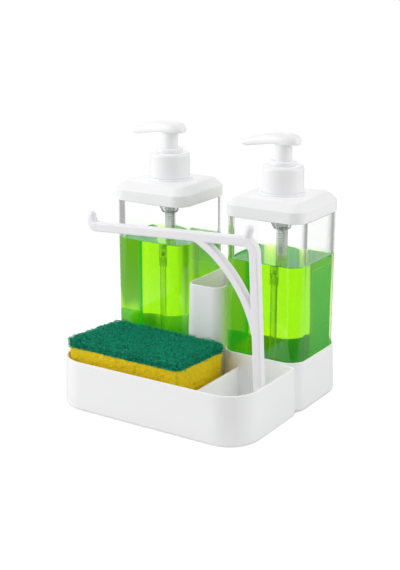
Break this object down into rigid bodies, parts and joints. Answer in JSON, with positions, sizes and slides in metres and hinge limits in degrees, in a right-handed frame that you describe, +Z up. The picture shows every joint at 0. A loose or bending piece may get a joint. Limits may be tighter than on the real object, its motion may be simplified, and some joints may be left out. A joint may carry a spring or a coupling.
{
  "type": "soap pump caddy",
  "caption": "White caddy with square pump jars, a tall brush well between them, a divided sponge tray and a towel rail that stands in a socket.",
  "frame": {"origin": "middle of the footprint, on the surface that the feet stand on", "axes": "+X to the right seen from the front, +Y from the sponge tray to the jars at the back, +Z up"},
  "size_m": [0.1818, 0.1572, 0.2175],
  "materials": {
    "white_plastic": "smooth moulded polypropylene, glossy",
    "rail_plastic": "smooth moulded plastic, glossy, faintly lilac",
    "clear_plastic": "clear moulded plastic",
    "pump_plastic": "translucent natural plastic",
    "piston_plastic": "soft natural plastic",
    "soap": "clear green liquid",
    "foam": "open-cell foam",
    "scouring_pad": "rough fibre web",
    "rubber": "matt rubber",
    "gasket": "pale silicone",
    "steel": "bright stainless steel"
  },
  "bodies": {
    "caddy": {"caddy_base": "white_plastic", "rubber_feet": "rubber"},
    "rail": {"towel_rail": "rail_plastic"},
    "sponge": {"sponge_foam": "foam", "scouring_pad": "scouring_pad"},
    "left_bottle": {"left_jar": "clear_plastic", "left_soap": "soap"},
    "left_pump": {"left_lid": "white_plastic", "left_lid_gasket": "gasket", "left_collar": "white_plastic", "left_collar_gasket": "gasket", "left_pump_housing": "pump_plastic", "left_lock_ring": "white_plastic", "left_dip_tube": "pump_plastic", "left_check_ball": "steel", "left_spring": "steel"},
    "left_plunger": {"left_piston_rod": "white_plastic", "left_piston": "piston_plastic"},
    "left_nozzle": {"left_pump_head": "white_plastic"},
    "right_bottle": {"right_jar": "clear_plastic", "right_soap": "soap"},
    "right_pump": {"right_lid": "white_plastic", "right_lid_gasket": "gasket", "right_collar": "white_plastic", "right_collar_gasket": "gasket", "right_pump_housing": "pump_plastic", "right_lock_ring": "white_plastic", "right_dip_tube": "pump_plastic", "right_check_ball": "steel", "right_spring": "steel"},
    "right_plunger": {"right_piston_rod": "white_plastic", "right_piston": "piston_plastic"},
    "right_nozzle": {"right_pump_head": "white_plastic"}
  },
  "joints": [
    {"name": "sponge_lift", "type": "slide", "parent": "caddy", "child": "sponge", "axis": [0, 0, 1], "range_m": [0, 0.06]},
    {"name": "rail_lift", "type": "slide", "parent": "caddy", "child": "rail", "axis": [-0.0523, 0, 0.9986], "range_m": [0, 0.03]},
    {"name": "left_bottle_lift", "type": "slide", "parent": "caddy", "child": "left_bottle", "axis": [0, 0, 1], "range_m": [0, 0.06]},
    {"name": "left_pump_lift", "type": "slide", "parent": "left_bottle", "child": "left_pump", "axis": [0, 0, 1], "range_m": [0, 0.155]},
    {"name": "left_press", "type": "slide", "parent": "left_pump", "child": "left_plunger", "axis": [0, 0, -1], "range_m": [0, 0.012], "stiffness_N_per_m": 500, "springref_m": -0.01, "deforming": ["left_spring"]},
    {"name": "left_head_turn", "type": "hinge", "parent": "left_plunger", "child": "left_nozzle", "pos_m": [-0.05345, 0.04115, 0.2085], "axis": [0, 0, 1], "continuous": true},
    {"name": "right_bottle_lift", "type": "slide", "parent": "caddy", "child": "right_bottle", "axis": [0, 0, 1], "range_m": [0, 0.06]},
    {"name": "right_pump_lift", "type": "slide", "parent": "right_bottle", "child": "right_pump", "axis": [0, 0, 1], "range_m": [0, 0.155]},
    {"name": "right_press", "type": "slide", "parent": "right_pump", "child": "right_plunger", "axis": [0, 0, -1], "range_m": [0, 0.012], "stiffness_N_per_m": 500, "springref_m": -0.01, "deforming": ["right_spring"]},
    {"name": "right_head_turn", "type": "hinge", "parent": "right_plunger", "child": "right_nozzle", "pos_m": [0.05345, 0.04115, 0.2085], "axis": [0, 0, 1], "continuous": true}
  ]
}
